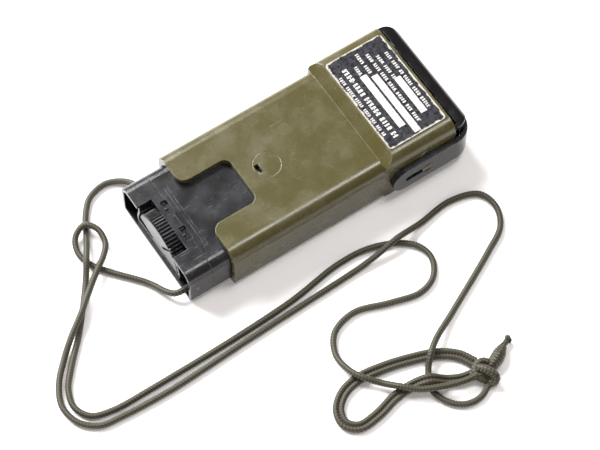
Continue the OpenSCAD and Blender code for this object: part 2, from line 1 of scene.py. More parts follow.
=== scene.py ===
"""Distress marker strobe light with a sliding guard, a dark filter and a braided lanyard."""

import math
import random

import bmesh
import bpy
from mathutils import Matrix, Vector, noise


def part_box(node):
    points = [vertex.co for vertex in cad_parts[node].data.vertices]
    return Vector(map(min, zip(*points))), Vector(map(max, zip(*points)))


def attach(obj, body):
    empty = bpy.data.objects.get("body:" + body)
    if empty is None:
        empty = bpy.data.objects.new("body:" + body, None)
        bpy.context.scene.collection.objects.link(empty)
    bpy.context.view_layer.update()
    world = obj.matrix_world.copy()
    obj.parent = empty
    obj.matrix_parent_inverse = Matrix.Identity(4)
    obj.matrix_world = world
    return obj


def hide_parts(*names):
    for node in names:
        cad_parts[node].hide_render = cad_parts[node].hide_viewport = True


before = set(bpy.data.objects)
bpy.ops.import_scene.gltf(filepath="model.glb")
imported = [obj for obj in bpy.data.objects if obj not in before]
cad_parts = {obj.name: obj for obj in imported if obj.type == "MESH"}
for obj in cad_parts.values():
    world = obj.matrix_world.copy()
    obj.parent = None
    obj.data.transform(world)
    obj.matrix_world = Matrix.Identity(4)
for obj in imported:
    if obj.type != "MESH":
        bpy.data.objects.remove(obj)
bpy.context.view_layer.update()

bl_info = {
    "name": "Distress Strobe Light",
    "version": (1, 0, 0),
    "blender": (4, 5, 0),
    "location": "View3D > Sidebar > Strobe",
    "description": "Finishes, lanyard, label print and stage of a pocket distress strobe light",
    "category": "Add Mesh",
}

MM = 0.001
# straight pieces that each span of a route is cut into before it is spaced out
SPAN_STEPS = 24


def linear(hex_colour):
    """Linear RGBA of an sRGB hex colour."""
    values = [int(hex_colour[i:i + 2], 16) / 255 for i in (1, 3, 5)]
    return tuple(
        v / 12.92 if v <= 0.04045 else ((v + 0.055) / 1.055) ** 2.4 for v in values
    ) + (1.0,)


def colour_property(name, description, hex_colour):
    return bpy.props.FloatVectorProperty(
        name=name, description=description, subtype="COLOR", size=4, min=0, max=1,
        default=linear(hex_colour),
    )


class StrobeSizes(bpy.types.PropertyGroup):
    """Sizes of the pieces that are modelled here."""

    cord_diameter: bpy.props.FloatProperty(
        name="Cord diameter", description="Outside diameter of the braided lanyard",
        default=2.4 * MM, unit="LENGTH",
    )
    braid_pitch: bpy.props.FloatProperty(
        name="Braid pitch", description="Distance between two picks along the braid",
        default=1.05 * MM, unit="LENGTH",
    )
    braid_relief: bpy.props.FloatProperty(
        name="Braid relief", description="Depth of the gaps between the braid's yarns",
        default=0.2 * MM, unit="LENGTH",
    )
    edge_radius: bpy.props.FloatProperty(
        name="Edge radius", description="Radius of the moulded edges",
        default=0.35 * MM, unit="LENGTH",
    )


class StrobeColours(bpy.types.PropertyGroup):
    """Colours of the finishes."""

    olive: colour_property("Olive", "Olive sleeve", "#45401f")
    # the sleeve's wear colour also paints the highlight along its edges
    olive_wear_and_highlight: colour_property("Olive wear", "Scuffs and rubbed edges of the sleeve", "#8b8771")
    black: colour_property("Black", "Black housing, cap, frame and knob", "#0f0f12")
    # the black parts' wear colour also paints the highlight along their edges
    black_wear_and_highlight: colour_property("Black wear", "Scuffs and rubbed edges of the black parts", "#6a6b74")
    # painted shade: the colour of the gaps between the braid's yarns
    cord_gap_painted_shade: colour_property("Cord dark", "Gaps between the lanyard's yarns", "#0e0d07")
    cord_body: colour_property("Cord body", "Flanks of the lanyard's yarns", "#39351f")
    # painted highlight: the colour of the crowns of the braid's yarns
    cord_crown_painted_highlight: colour_property("Cord light", "Crowns of the lanyard's yarns", "#8a8263")
    label: colour_property("Label", "Ground of the label", "#1c1c21")


# Materials

def add(tree, kind, inputs=None, **settings):
    """Adds a node with its settings, gives its inputs their values or links, and returns its output."""
    made = tree.nodes.new(kind)
    for key, value in settings.items():
        setattr(made, key, value)
    for key, value in (inputs or {}).items():
        if isinstance(value, bpy.types.NodeSocket):
            tree.links.new(value, made.inputs[key])
        else:
            made.inputs[key].default_value = value
    return next((out for out in made.outputs if out.enabled), None)


def new_material(name):
    """A material with its shader, and the coordinates that its patterns read."""
    made = bpy.data.materials.new(name)
    made.use_nodes = True
    tree = made.node_tree
    tree.nodes.clear()
    surface = add(tree, "ShaderNodeBsdfPrincipled")
    add(tree, "ShaderNodeOutputMaterial", {"Surface": surface})
    at = add(tree, "ShaderNodeTexCoord").node.outputs["Object"]
    return made, tree, surface.node, at


def patches(tree, at, size, low, high, detail=4.0):
    """Soft patches about size across, from 0 where the noise is at low to 1 at high."""
    field = add(tree, "ShaderNodeTexNoise", {"Vector": at, "Scale": 1 / size, "Detail": detail,
                                             "Roughness": 0.6})
    return add(tree, "ShaderNodeMapRange", {"Value": field, "From Min": low, "From Max": high})


def scratches(tree, at, wide, long, turn, least):
    """Fine curved scratches: 1 on a scratch and 0 between. A larger least leaves fewer of them."""
    laid = add(tree, "ShaderNodeMapping", {
        "Vector": at, "Rotation": (0, 0, turn), "Scale": (1 / wide, 1 / long, 1 / long)})
    field = add(tree, "ShaderNodeTexNoise", {"Vector": laid, "Scale": 1.0, "Detail": 1.5,
                                             "Roughness": 0.5, "Distortion": 0.7})
    return add(tree, "ShaderNodeMapRange", {"Value": field, "From Min": least, "From Max": least + 0.1})


def edge_wear_and_highlight_mask(tree, radius):
    """1 on sharp outer edges, where hands and pockets rub a moulding and where a painted highlight is
    laid, and 0 on its faces.
    """
    soft = add(tree, "ShaderNodeBevel", {"Radius": radius}, samples=6)
    true = add(tree, "ShaderNodeNewGeometry").node.outputs["Normal"]
    turned = add(tree, "ShaderNodeVectorMath", {0: soft, 1: true}, operation="DOT_PRODUCT")
    return add(tree, "ShaderNodeMapRange", {"Value": turned, "From Min": 0.995, "From Max": 0.86})


def moulded_plastic(name, base, wear_and_highlight_colour, roughness, scuffs, edge, edge_radius):
    """Injection-moulded nylon: a fine spark-eroded grain that breaks its sheen, short curved scratches
    gathered in scuffed patches, and pale edges, which are rubbed wear and a painted highlight."""
    made, tree, shader, at = new_material(name)
    # the eroded grain is about 0.1 mm across, and is drawn 0.45 mm across so that it shows
    grain = patches(tree, at, 0.45 * MM, 0.3, 0.7, 2.0)
    cloud = patches(tree, at, 11 * MM, 0.42, 0.72)
    hairs = scratches(tree, at, 0.35 * MM, 5 * MM, 0.5, 0.70)
    for turn in (1.35, 2.2, -0.25):
        hairs = add(tree, "ShaderNodeMath", {
            0: hairs, 1: scratches(tree, at, 0.3 * MM, 4 * MM, turn, 0.71)}, operation="MAXIMUM")
    gathered = add(tree, "ShaderNodeMath", {0: cloud, 1: 0.8, 2: 0.2}, operation="MULTIPLY_ADD")
    hairs = add(tree, "ShaderNodeMath", {0: hairs, 1: gathered}, operation="MULTIPLY")
    haze = add(tree, "ShaderNodeMath", {0: cloud, 1: 0.10, 2: hairs}, operation="MULTIPLY_ADD")
    scuffed = add(tree, "ShaderNodeMath", {0: haze, 1: scuffs}, operation="MULTIPLY")
    # pale edges: rubbed wear and a painted highlight along the sharp edges
    rubbed_and_edge_highlight = add(tree, "ShaderNodeMath", {
        0: edge_wear_and_highlight_mask(tree, edge_radius), 1: patches(tree, at, 2.2 * MM, 0.34, 0.6)},
        operation="MULTIPLY")
    rubbed_and_edge_highlight = add(tree, "ShaderNodeMath", {0: rubbed_and_edge_highlight, 1: edge}, operation="MULTIPLY")
    wear_and_edge_highlight = add(tree, "ShaderNodeMath", {0: scuffed, 1: rubbed_and_edge_highlight}, operation="MAXIMUM", use_clamp=True)
    darker = [0.8 * c for c in base[:3]] + [1]
    tone = add(tree, "ShaderNodeMix", {0: grain, 6: base, 7: darker}, data_type="RGBA")
    # the wear colour paints scratches, scuffs, and the painted highlight on the edges
    tone = add(tree, "ShaderNodeMix", {0: wear_and_edge_highlight, 6: tone, 7: wear_and_highlight_colour}, data_type="RGBA")
    tree.links.new(tone, shader.inputs["Base Color"])
    dulled = add(tree, "ShaderNodeMath", {0: cloud, 1: 0.10, 2: roughness}, operation="MULTIPLY_ADD")
    dulled = add(tree, "ShaderNodeMath", {0: hairs, 1: 0.2, 2: dulled}, operation="MULTIPLY_ADD")
    tree.links.new(dulled, shader.inputs["Roughness"])
    relief = add(tree, "ShaderNodeMath", {0: hairs, 1: -0.6, 2: grain}, operation="MULTIPLY_ADD")
    soft = add(tree, "ShaderNodeBevel", {"Radius": edge_radius}, samples=6)
    bump = add(tree, "ShaderNodeBump", {"Height": relief, "Normal": soft, "Strength": 0.16,
                                        "Distance": 0.05 * MM})
    tree.links.new(bump, shader.inputs["Normal"])
    shader.inputs["IOR"].default_value = 1.53
    return made


def polished_filter(name, base, roughness):
    """Cast acrylic: a deep, nearly black dye under a polished face, with faint smears and hairlines."""
    made, tree, shader, at = new_material(name)
    smears = patches(tree, at, 5 * MM, 0.4, 0.7)
    hairs = scratches(tree, at, 0.3 * MM, 7 * MM, 0.9, 0.72)
    faint = add(tree, "ShaderNodeMath", {0: hairs, 1: 0.3}, operation="MULTIPLY")
    tone = add(tree, "ShaderNodeMix", {0: faint, 6: base, 7: linear("#4c4c54")}, data_type="RGBA")
    tree.links.new(tone, shader.inputs["Base Color"])
    dulled = add(tree, "ShaderNodeMath", {0: smears, 1: 0.14, 2: roughness}, operation="MULTIPLY_ADD")
    tree.links.new(dulled, shader.inputs["Roughness"])
    soft = add(tree, "ShaderNodeBevel", {"Radius": 0.5 * MM}, samples=6)
    tree.links.new(soft, shader.inputs["Normal"])
    shader.inputs["IOR"].default_value = 1.49
    return made


def clear_plastic(name, base, transmission, roughness):
    """Clear or dyed polycarbonate and glass: light passes through it, with a slight haze."""
    made, tree, shader, at = new_material(name)
    haze = patches(tree, at, 6 * MM, 0.3, 0.7)
    hazy = add(tree, "ShaderNodeMath", {0: haze, 1: 0.05, 2: roughness}, operation="MULTIPLY_ADD")
    tree.links.new(hazy, shader.inputs["Roughness"])
    shader.inputs["Base Color"].default_value = base
    shader.inputs["Transmission Weight"].default_value = transmission
    shader.inputs["IOR"].default_value = 1.58
    return made


def worked_metal(name, base, roughness):
    """Drawn or stamped metal: fine lines along its length that stretch the highlight."""
    made, tree, shader, at = new_material(name)
    lines = scratches(tree, at, 0.2 * MM, 4 * MM, 0, 0.45)
    darker = [0.72 * c for c in base[:3]] + [1]
    tone = add(tree, "ShaderNodeMix", {0: lines, 6: base, 7: darker}, data_type="RGBA")
    tree.links.new(tone, shader.inputs["Base Color"])
    dulled = add(tree, "ShaderNodeMath", {0: lines, 1: 0.2, 2: roughness}, operation="MULTIPLY_ADD")
    tree.links.new(dulled, shader.inputs["Roughness"])
    shader.inputs["Metallic"].default_value = 1.0
    return made


def plain_plastic(name, base, roughness, speck):
    """Small moulded, dipped or laminated parts inside: a faint mottle under a satin skin."""
    made, tree, shader, at = new_material(name)
    mottle = patches(tree, at, 1.4 * MM, 0.3, 0.7)
    faint = add(tree, "ShaderNodeMath", {0: mottle, 1: speck}, operation="MULTIPLY")
    tone = add(tree, "ShaderNodeMix", {0: faint, 6: base, 7: linear("#8a8a88")}, data_type="RGBA")
    tree.links.new(tone, shader.inputs["Base Color"])
    dulled = add(tree, "ShaderNodeMath", {0: mottle, 1: 0.12, 2: roughness}, operation="MULTIPLY_ADD")
    tree.links.new(dulled, shader.inputs["Roughness"])
    return made


def foil_label(name, ground):
    """Anodised aluminium foil: a mottled dark ground with a dull metal sheen, scratched, and pale round
    its rim, where it is rubbed bright metal with a painted highlight."""
    made, tree, shader, at = new_material(name)
    low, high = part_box("label_plate")
    centre, half = (low + high) / 2, (high - low) / 2
    place = add(tree, "ShaderNodeSeparateXYZ", {0: at}).node.outputs
    inset = []
    for axis in (0, 1):
        offset = add(tree, "ShaderNodeMath", {0: place[axis], 1: centre[axis]}, operation="SUBTRACT")
        reach = add(tree, "ShaderNodeMath", {0: offset}, operation="ABSOLUTE")
        inset.append(add(tree, "ShaderNodeMath", {0: half[axis], 1: reach}, operation="SUBTRACT"))
    rim = add(tree, "ShaderNodeMath", {0: inset[0], 1: inset[1]}, operation="MINIMUM")
    # the bright rim, rubbed metal with a painted highlight, is ragged, up to 1.25 mm wide
    ragged = add(tree, "ShaderNodeMath", {
        0: patches(tree, at, 2.4 * MM, 0.3, 0.75, 6.0), 1: -1.25 * MM, 2: rim},
        operation="MULTIPLY_ADD")
    bare_rim_and_highlight = add(tree, "ShaderNodeMapRange", {
        "Value": ragged, "From Min": 0.1 * MM, "From Max": -0.2 * MM})
    mottle = patches(tree, at, 1.0 * MM, 0.36, 0.72, 5.0)
    hairs = scratches(tree, at, 0.3 * MM, 6 * MM, 0.6, 0.68)
    faint = add(tree, "ShaderNodeMath", {0: hairs, 1: 0.45}, operation="MULTIPLY")
    tone = add(tree, "ShaderNodeMix", {0: mottle, 6: ground, 7: linear("#37373e")}, data_type="RGBA")
    tone = add(tree, "ShaderNodeMix", {0: faint, 6: tone, 7: linear("#6e6e78")}, data_type="RGBA")
    # painted highlight and rubbed metal: the pale colour of the rim
    tone = add(tree, "ShaderNodeMix", {0: bare_rim_and_highlight, 6: tone, 7: linear("#b9b6ae")}, data_type="RGBA")
    tree.links.new(tone, shader.inputs["Base Color"])
    dulled = add(tree, "ShaderNodeMath", {0: mottle, 1: 0.2, 2: 0.24}, operation="MULTIPLY_ADD")
    tree.links.new(dulled, shader.inputs["Roughness"])
    bump = add(tree, "ShaderNodeBump", {"Height": mottle, "Strength": 0.25, "Distance": 0.04 * MM})
    tree.links.new(bump, shader.inputs["Normal"])
    shader.inputs["Metallic"].default_value = 0.4
    return made


def printed_ink(name):
    """Screen-printed white ink: a thin flat film, broken where it has rubbed away."""
    made, tree, shader, at = new_material(name)
    film = patches(tree, at, 0.35 * MM, 0.34, 0.5, 3.0)
    tone = add(tree, "ShaderNodeMix", {0: film, 6: linear("#46464e"), 7: linear("#c4c3bf")},
               data_type="RGBA")
    tree.links.new(tone, shader.inputs["Base Color"])
    shader.inputs["Roughness"].default_value = 0.5
    return made


def braided_nylon(name, dark, body, light):
    """Braided nylon cord: slanted yarns with a painted highlight on their crowns and painted shade in
    the gaps between them. The mesh carries the braid's height in its attribute "braid"."""
    made, tree, shader, at = new_material(name)
    height = add(tree, "ShaderNodeAttribute", attribute_name="braid").node.outputs["Fac"]
    # filaments are about 0.03 mm across, and are drawn 0.25 mm across so that they show
    fibres = patches(tree, at, 0.25 * MM, 0.3, 0.75, 2.0)
    faded = patches(tree, at, 8 * MM, 0.3, 0.7)
    # painted shade: the colour dark fills the gaps between the yarns
    yarn = add(tree, "ShaderNodeMapRange", {"Value": height, "From Min": 0.25, "From Max": 0.6})
    crown = add(tree, "ShaderNodeMapRange", {"Value": height, "From Min": 0.62, "From Max": 0.95})
    # painted highlight: the colour light is laid on the yarns' crowns
    lit = add(tree, "ShaderNodeMath", {0: fibres, 1: 0.5, 2: 0.5}, operation="MULTIPLY_ADD")
    lit = add(tree, "ShaderNodeMath", {0: lit, 1: crown}, operation="MULTIPLY")
    tone = add(tree, "ShaderNodeMix", {0: yarn, 6: dark, 7: body}, data_type="RGBA")
    tone = add(tree, "ShaderNodeMix", {0: lit, 6: tone, 7: light}, data_type="RGBA")
    dull = add(tree, "ShaderNodeMath", {0: faded, 1: 0.3}, operation="MULTIPLY")
    tone = add(tree, "ShaderNodeMix", {0: dull, 6: tone, 7: body}, data_type="RGBA")
    tree.links.new(tone, shader.inputs["Base Color"])
    bump = add(tree, "ShaderNodeBump", {"Height": fibres, "Strength": 0.3, "Distance": 0.05 * MM})
    tree.links.new(bump, shader.inputs["Normal"])
    shader.inputs["Roughness"].default_value = 0.6
    shader.inputs["Sheen Weight"].default_value = 0.1
    return made


def studio_floor(name):
    """Matte pale paper sweep, with a faint unevenness."""
    made, tree, shader, at = new_material(name)
    tone = add(tree, "ShaderNodeMix", {
        0: patches(tree, at, 60 * MM, 0.3, 0.7), 6: linear("#fbfafa"), 7: linear("#f6f5f5")},
        data_type="RGBA")
    tree.links.new(tone, shader.inputs["Base Color"])
    shader.inputs["Roughness"].default_value = 0.9
    return made


def paint(names, made):
    """Gives CAD nodes a material."""
    for name in names:
        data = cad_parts[name].data
        data.materials.clear()
        data.materials.append(made)


# Braided cord

ROUTE_LEFT = [
    (-22.1, -49.5, 4), (-24.5, -49.5, 4), (-30, -51.5, 2), (-33.6, -57.5, 1.2),
    (-32, -65, 1.2), (-26.5, -70.2, 1.2), (-20.5, -73.5, 1.2), (-15.5, -76.2, 2.8),
    (-10.5, -79.2, 3.9), (-4.5, -83.3, 1.6), (11, -95.3, 1.2), (21, -104.5, 1.2),
    (27, -109, 1.2), (33.5, -110.5, 1.2), (39, -107.5, 1.2), (41.2, -101, 1.2),
    (41.8, -84, 1.2), (40.6, -30, 1.2), (37.6, -8, 1.2), (38.2, 4, 1.2),
    (42, 14, 1.2), (46.8, 19.4, 1.2), (53, 20.8, 1.2), (59.5, 17, 1.2),
    (62, 10, 1.2), (59.5, -1, 1.2), (55.7, -13.5, 1.2), (58.5, -23, 1.2),
    (65.5, -27.3, 1.4), (73, -27.2, 3), (78, -25.2, 3.9), (83, -20.6, 2.6),
    (88.5, -16, 4.2), (92.4, -11.6, 3.9), (94.9, -6.6, 3.9), (96.8, -1.8, 3.8),
    (98, 2.6, 3.8), (98.7, 7, 3.8),
]
ROUTE_RIGHT = [
    (17.8, -57.3, 4), (17.8, -58.7, 4), (17, -60.9, 3.6), (14.4, -62.7, 2.8),
    (8, -65.4, 1.2), (-4, -75, 1.2), (-9.5, -78.6, 1.2), (-15.5, -79.8, 1.2), (-20.8, -77.6, 2),
    (-22.4, -73, 3.8), (-18.8, -69.9, 3.6), (-13, -70.2, 3), (-8.5, -73.6, 3.8),
    (-5, -78.3, 3.6), (0.5, -85, 3.5), (6.3, -91.5, 4), (11.5, -98.5, 3),
    (17, -105, 1.2), (23.5, -110.6, 1.2), (31, -113.8, 1.2), (38.5, -112.3, 1.2),
    (43.6, -107, 1.2), (45, -98.5, 1.2), (45.8, -80, 1.2), (44.6, -50, 1.2),
    (43, -4, 1.2), (42.6, 5, 2.6), (41.6, 14, 4), (40.3, 25, 1.8),
    (38.6, 39, 1.2), (42, 49, 1.2), (49, 51, 1.2), (56.5, 47.5, 1.2),
    (62, 38.5, 1.2), (75, 13, 1.4), (79.5, 4.5, 3), (83.5, -0.8, 4),
    (88, -5, 1.3), (94, -7.6, 1.2), (100.4, -5.6, 1.2), (104.4, -1, 1.2),
    (105, 4.4, 1.2), (102.9, 9.4, 1.4),
]
ROUTE_LOOP = [
    (93.9, 10, 1.4), (88.6, 7.2, 1.2), (84, 1.3, 1.2), (80.6, -7.5, 1.2),
    (78.2, -16.5, 1.2), (77, -26, 1.2), (78.6, -33, 1.2), (82.8, -37.8, 1.2),
    (88, -38.8, 1.2), (91.6, -35.2, 1.2), (91.3, -27.5, 1.2), (89.3, -19.5, 1.2),
    (89.1, -12.8, 1.6), (91, -7.2, 4), (93.9, -1.4, 1.3), (96, 2.8, 1.2),
    (97, 7, 1.3),
]
# The knot: a hook round the strands, a fat front turn, the core, and the strands' ends inside it
ROUTE_HOOK = [
    (98.4, 13.7, 2.4), (96.7, 13.3, 3.3), (95.3, 11.9, 3.6), (95.2, 9.9, 3.5), (96.3, 8.1, 3.4),
    (98.3, 7.3, 3.2), (100.4, 8, 2.6), (101.6, 9.6, 1.6),
]
ROUTE_WRAP = [
    (96, 8.8, 2.2), (97.2, 9.4, 4.2), (98.9, 10.4, 5), (100.7, 11.4, 5), (102.4, 12.1, 4.2),
    (103.3, 11.6, 2.9), (103, 10.2, 1.7),
]
ROUTE_CORE = [(94.2, 10, 1.5), (96.6, 11, 2.1), (99.3, 12, 2.3), (101.8, 11.4, 1.8)]
ROUTE_RETURN = [(96.6, 6, 1.5), (97.5, 8.4, 2.1), (98.8, 11, 2.4)]
ROUTE_JOIN = [(98.5, 6, 3.8), (99.2, 8.4, 3.2), (99.8, 10.6, 2.6)]


def smooth_route(points, step):
    """Points step apart along one smooth curve through the route's points, in metres."""
    way = [Vector(p) * MM for p in points]
    way = [way[0] * 2 - way[1]] + way + [way[-1] * 2 - way[-2]]
    fine = []
    for a, b, c, d in zip(way, way[1:], way[2:], way[3:]):
        # centripetal spans keep the curve from bulging where the points are uneven
        t1 = math.sqrt((b - a).length)
        t2 = t1 + math.sqrt((c - b).length)
        t3 = t2 + math.sqrt((d - c).length)
        for k in range(SPAN_STEPS):
            t = t1 + (t2 - t1) * k / SPAN_STEPS
            p = a * ((t1 - t) / t1) + b * (t / t1)
            q = b * ((t2 - t) / (t2 - t1)) + c * ((t - t1) / (t2 - t1))
            r = c * ((t3 - t) / (t3 - t2)) + d * ((t - t2) / (t3 - t2))
            s = p * ((t2 - t) / t2) + q * (t / t2)
            u = q * ((t3 - t) / (t3 - t1)) + r * ((t - t1) / (t3 - t1))
            fine.append(s * ((t2 - t) / (t2 - t1)) + u * ((t - t1) / (t2 - t1)))
    fine.append(way[-2])
    # the cord lies on the surface and never dips into it
    lowest = min(p.z for p in way)
    for p in fine:
        p.z = max(p.z, lowest)
    length = sum((b - a).length for a, b in zip(fine, fine[1:]))
    count = max(2, round(length / step))
    out, walked, target = [fine[0]], 0.0, length / count
    for a, b in zip(fine, fine[1:]):
        span = (b - a).length
        while walked + span >= target - 1e-12 and len(out) < count:
            out.append(a.lerp(b, (target - walked) / span))
            target += length / count
        walked += span
    out.append(fine[-1])
    return out, length


def braid_height(along, around, pitch, columns=6):
    """Height from 0 to 1 of a braid's yarns, along the cord in metres and around it in turns."""
    column = math.floor(around * columns)
    across = around * columns - column - 0.5
    slant = 0.75 if column % 2 else -0.75
    pick = (along / pitch + slant * across) % 1.0
    crown = 0.5 + 0.5 * math.cos(2 * math.pi * (pick - 0.5))
    return crown ** 0.8 * (1 - (2 * abs(across)) ** 2 * 0.85)


def braided_tube(points, radius, sizes, sides=16, step=0.25 * MM, offset=(0, 0)):
    """A braided tube along a route, its centre line and its length. radius is a number, or a function
    of the share of the length. offset moves it sideways and up from the route. A grid is rolled into
    the tube, and its yarns stand out of it."""
    way, length = smooth_route(points, step)
    last = len(way) - 1
    bm = bmesh.new()
    layer = bm.verts.layers.float.new("braid")
    bmesh.ops.create_grid(bm, x_segments=last, y_segments=sides, size=1.0)
    tangent = (way[1] - way[0]).normalized()
    side = tangent.cross(Vector((0, 0, 1))).normalized()
    frames = []
    for i, at in enumerate(way):
        new_tangent = (way[min(i + 1, last)] - way[max(i - 1, 0)]).normalized()
        side = tangent.rotation_difference(new_tangent) @ side
        side = (side - new_tangent * side.dot(new_tangent)).normalized()
        tangent = new_tangent
        level = tangent.cross(Vector((0, 0, 1))).normalized()
        frames.append((at + level * offset[0] + Vector((0, 0, offset[1])), side, side.cross(tangent)))
    for v in bm.verts:
        i = round((v.co.x + 1) / 2 * last)
        turn = round((v.co.y + 1) / 2 * sides) / sides
        at, side, up = frames[i]
        r = radius(i / last) if callable(radius) else radius
        h = braid_height(i / last * length, turn, sizes.braid_pitch)
        reach = r - sizes.braid_relief * (1 - h)
        angle = 2 * math.pi * turn
        v.co = at + side * math.cos(angle) * reach + up * math.sin(angle) * reach
        v[layer] = h
    bmesh.ops.remove_doubles(bm, verts=bm.verts, dist=0.002 * MM)
    bmesh.ops.holes_fill(bm, edges=bm.edges, sides=sides)
    bmesh.ops.recalc_face_normals(bm, faces=bm.faces)
    return bm, [f[0] for f in frames], length


def finish_piece(bm, name, material, body, smooth=True):
    """Makes a bmesh an object with its material, on its body."""
    data = bpy.data.meshes.new(name)
    bm.to_mesh(data)
    bm.free()
    for face in data.polygons:
        face.use_smooth = smooth
    data.materials.append(material)
    made = bpy.data.objects.new(name, data)
    bpy.context.scene.collection.objects.link(made)
    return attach(made, body)


def sizes_and_colours(context):
    return context.scene.strobe_sizes, context.scene.strobe_colours


# Stage

class STROBE_OT_stage(bpy.types.Operator):
    """Camera, floor and soft studio light"""

    bl_idname = "strobe.stage"
    bl_label = "Stage"

    def execute(self, context):
        azimuth, elevation, distance = math.radians(56.49), math.radians(62.17), 798.2 * MM
        target = Vector((17.09, -9.64, 0)) * MM
        back = Vector((math.sin(azimuth) * math.cos(elevation),
                       -math.cos(azimuth) * math.cos(elevation), math.sin(elevation)))
        camera = bpy.data.objects.new("camera", bpy.data.cameras.new("camera"))
        camera.data.sensor_width = 36
        camera.data.lens = 137.87
        camera.data.clip_start = 0.01
        camera.location = target + back * distance
        camera.rotation_euler = (-back).to_track_quat("-Z", "Y").to_euler()
        context.scene.collection.objects.link(camera)
        context.scene.camera = camera

        bm = bmesh.new()
        bmesh.ops.create_grid(bm, x_segments=1, y_segments=1, size=3.0)
        bmesh.ops.translate(bm, vec=(0, 0, -0.05 * MM), verts=bm.verts)
        data = bpy.data.meshes.new("floor")
        bm.to_mesh(data)
        bm.free()
        data.materials.append(studio_floor("Paper sweep, matte"))
        floor = bpy.data.objects.new("floor", data)
        context.scene.collection.objects.link(floor)

        self.light(context, "key", (-1.05, -0.25, 0.90), 0.9, 60.0)
        self.light(context, "strip", (0.05, 0.27, 0.97), 0.3, 4.0)
        self.light(context, "fill", (0.75, -0.70, 0.80), 0.9, 5.0)
        world = context.scene.world or bpy.data.worlds.new("world")
        context.scene.world = world
        world.use_nodes = True
        background = next(n for n in world.node_tree.nodes if n.type == "BACKGROUND")
        background.inputs["Color"].default_value = linear("#fff0e6")
        background.inputs["Strength"].default_value = 0.3
        context.scene.view_settings.view_transform = "Standard"
        return {"FINISHED"}

    def light(self, context, name, at, size, power):
        lamp = bpy.data.objects.new(name, bpy.data.lights.new(name, "AREA"))
        lamp.data.shape = "SQUARE"
        lamp.data.size = size
        lamp.data.energy = power
        lamp.location = at
        lamp.rotation_euler = (-Vector(at)).to_track_quat("-Z", "Y").to_euler()
        context.scene.collection.objects.link(lamp)


# Lanyard

class STROBE_OT_lanyard(bpy.types.Operator):
    """Braided cords, the knot that joins them and its whipped tail"""

    bl_idname = "strobe.lanyard"
    bl_label = "Lanyard"

    def execute(self, context):
        sizes, colours = sizes_and_colours(context)
        # the braid's painted shade and painted highlight colours go in with its own colour
        braid = braided_nylon("Nylon, braided", colours.cord_gap_painted_shade, colours.cord_body,
                              colours.cord_crown_painted_highlight)
        radius = sizes.cord_diameter / 2
        knot = self.knot(sizes, braid)
        tail = self.tail(sizes, braid)
        tip = self.tip()
        exits = {
            "cord_left": (ROUTE_LEFT, "lanyard_left", (-22.1, -49.5, 4)),
            "cord_right": (ROUTE_RIGHT, "lanyard_right", (17.8, -57.3, 4)),
        }
        for name, (route, node, leaves) in exits.items():
            bm, way, length = braided_tube(route, radius, sizes)
            piece = finish_piece(bm, name, braid, "cap")
            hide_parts(node)
        strands = {"loop_inner": (-1.0 * MM, 0.0), "loop_outer": (1.0 * MM, 0.1 * MM)}
        for name, offset in strands.items():
            bm, way, length = braided_tube(ROUTE_LOOP, radius * 0.93, sizes, offset=offset)
            piece = finish_piece(bm, name, braid, "cap")
            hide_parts("lanyard_loop")
        paint(["lanyard_inside"], braid)
        return {"FINISHED"}

    def knot(self, sizes, braid):
        """Turns of the cord and the strands' ends, drawn up into one hitch."""
        whole = bmesh.new()
        data = bpy.data.meshes.new("turn")
        for route, radius in ((ROUTE_HOOK, 1.25), (ROUTE_WRAP, 1.6), (ROUTE_CORE, 1.9),
                              (ROUTE_RETURN, 1.5), (ROUTE_JOIN, 1.25)):
            bm, _, _ = braided_tube(route, radius * MM, sizes)
            bm.to_mesh(data)
            bm.free()
            whole.from_mesh(data)
        bpy.data.meshes.remove(data)
        piece = finish_piece(whole, "knot", braid, "cap")
        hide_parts("lanyard_knot")
        return piece

    def tail(self, sizes, braid):
        """Tail of the knot, swollen where the inner cord was pushed back, narrow at its end."""
        def radius(share):
            swell = math.sin(math.pi * min(1, 0.12 + share * 1.05)) ** 0.9
            return (1.1 + 1.4 * swell) * MM
        route = [(98.1, 13, 2.4), (97.6, 14.8, 2.5), (96.7, 17, 2.5), (95.2, 19.8, 2.2),
                 (93.9, 22, 1.9), (93.1, 23.8, 1.8)]
        bm, _, _ = braided_tube(route, radius, sizes)
        for v in bm.verts:
            v.co += noise.noise_vector(v.co / (0.9 * MM)) * 0.22 * MM
        piece = finish_piece(bm, "cord_tail", braid, "cap")
        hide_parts("lanyard_tail")
        return piece

    def tip(self):
        """Burnt end of the cord: a lumpy black bead of melted nylon."""
        bm = bmesh.new()
        bmesh.ops.create_icosphere(bm, subdivisions=4, radius=1.25 * MM)
        bmesh.ops.scale(bm, vec=(1.3, 0.8, 0.9), verts=bm.verts)
        bmesh.ops.rotate(bm, cent=(0, 0, 0), matrix=Matrix.Rotation(-0.15, 3, "Z"), verts=bm.verts)
        bmesh.ops.translate(bm, vec=(93 * MM, 24.4 * MM, 1.9 * MM), verts=bm.verts)
        for v in bm.verts:
            v.co += noise.noise_vector(v.co / (0.8 * MM)) * 0.4 * MM
        piece = finish_piece(bm, "fused_end", plain_plastic(
            "Nylon, melted", linear("#0d0c0b"), 0.35, 0.05), "cap")
        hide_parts("lanyard_fused_end")
        return piece


# Finishes of the CAD pieces

